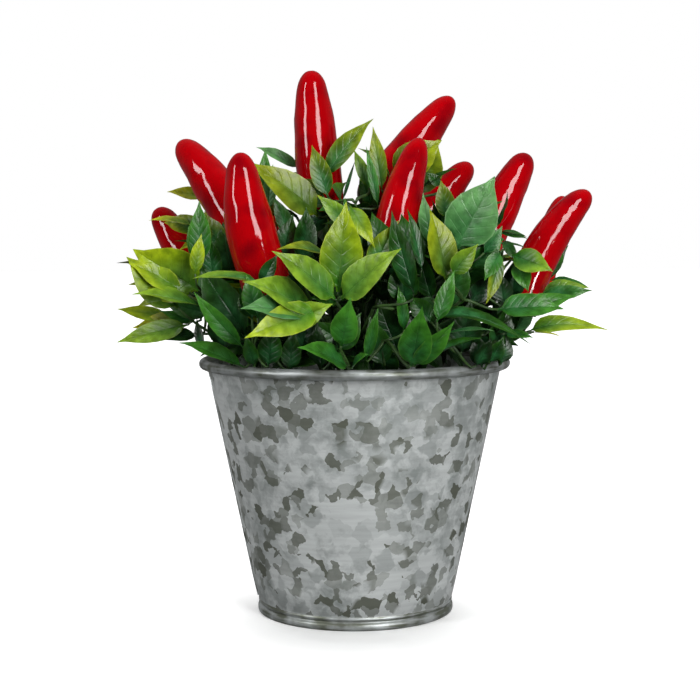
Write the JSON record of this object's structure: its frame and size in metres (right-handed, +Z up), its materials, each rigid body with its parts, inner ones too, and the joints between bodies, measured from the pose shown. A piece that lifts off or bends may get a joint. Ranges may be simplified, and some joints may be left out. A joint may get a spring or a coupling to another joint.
{
  "type": "artificial chilli pepper plant in a pot",
  "caption": "Artificial chilli pepper plant: upright red chillies among green leaf sprays, standing in a tapered galvanised pot.",
  "frame": {"origin": "middle of the pot's flat underside, on the surface that it stands on", "axes": "+Z up through the pot and the plant; -Y is the front, the side that the picture shows; +X is to the right in the picture"},
  "size_m": [0.1945, 0.1651, 0.217],
  "materials": {
    "zinc": "spangled galvanised zinc, satin",
    "foam": "matte open-cell foam",
    "stem": "satin moulded plastic",
    "leaves": "satin moulded plastic leaves",
    "chilli": "high gloss"
  },
  "bodies": {
    "root": {"pot_wall": "zinc", "pot_base": "zinc", "foam_plug": "foam", "main_stem": "stem", "bough_front": "stem", "bough_front_right": "stem", "bough_right": "stem", "bough_back_right": "stem", "bough_back": "stem", "bough_back_left": "stem", "bough_left": "stem", "bough_front_left": "stem", "bough_mid_front": "stem", "bough_mid_front_right": "stem", "bough_mid_right": "stem", "bough_mid_back_right": "stem", "bough_mid_back_left": "stem", "bough_mid_left": "stem", "bough_mid_front_left": "stem", "bough_top_left": "stem", "bough_top_front": "stem", "bough_top_right": "stem", "chilli_01": "chilli", "chilli_02": "chilli", "chilli_03": "chilli", "chilli_04": "chilli", "chilli_05": "chilli", "chilli_06": "chilli", "chilli_07": "chilli", "chilli_08": "chilli", "chilli_09": "chilli", "chilli_10": "chilli", "chilli_11": "chilli", "chilli_12": "chilli", "leaf_mass_front": "leaves", "leaf_mass_front_right": "leaves", "leaf_mass_right": "leaves", "leaf_mass_back_right": "leaves", "leaf_mass_back": "leaves", "leaf_mass_back_left": "leaves", "leaf_mass_left": "leaves", "leaf_mass_front_left": "leaves", "leaf_mass_mid_front": "leaves", "leaf_mass_mid_front_right": "leaves", "leaf_mass_mid_right": "leaves", "leaf_mass_mid_back_right": "leaves", "leaf_mass_mid_back_left": "leaves", "leaf_mass_mid_left": "leaves", "leaf_mass_mid_front_left": "leaves", "leaf_mass_top_left": "leaves", "leaf_mass_top_front": "leaves", "leaf_mass_top_right": "leaves"}
  },
  "joints": []
}
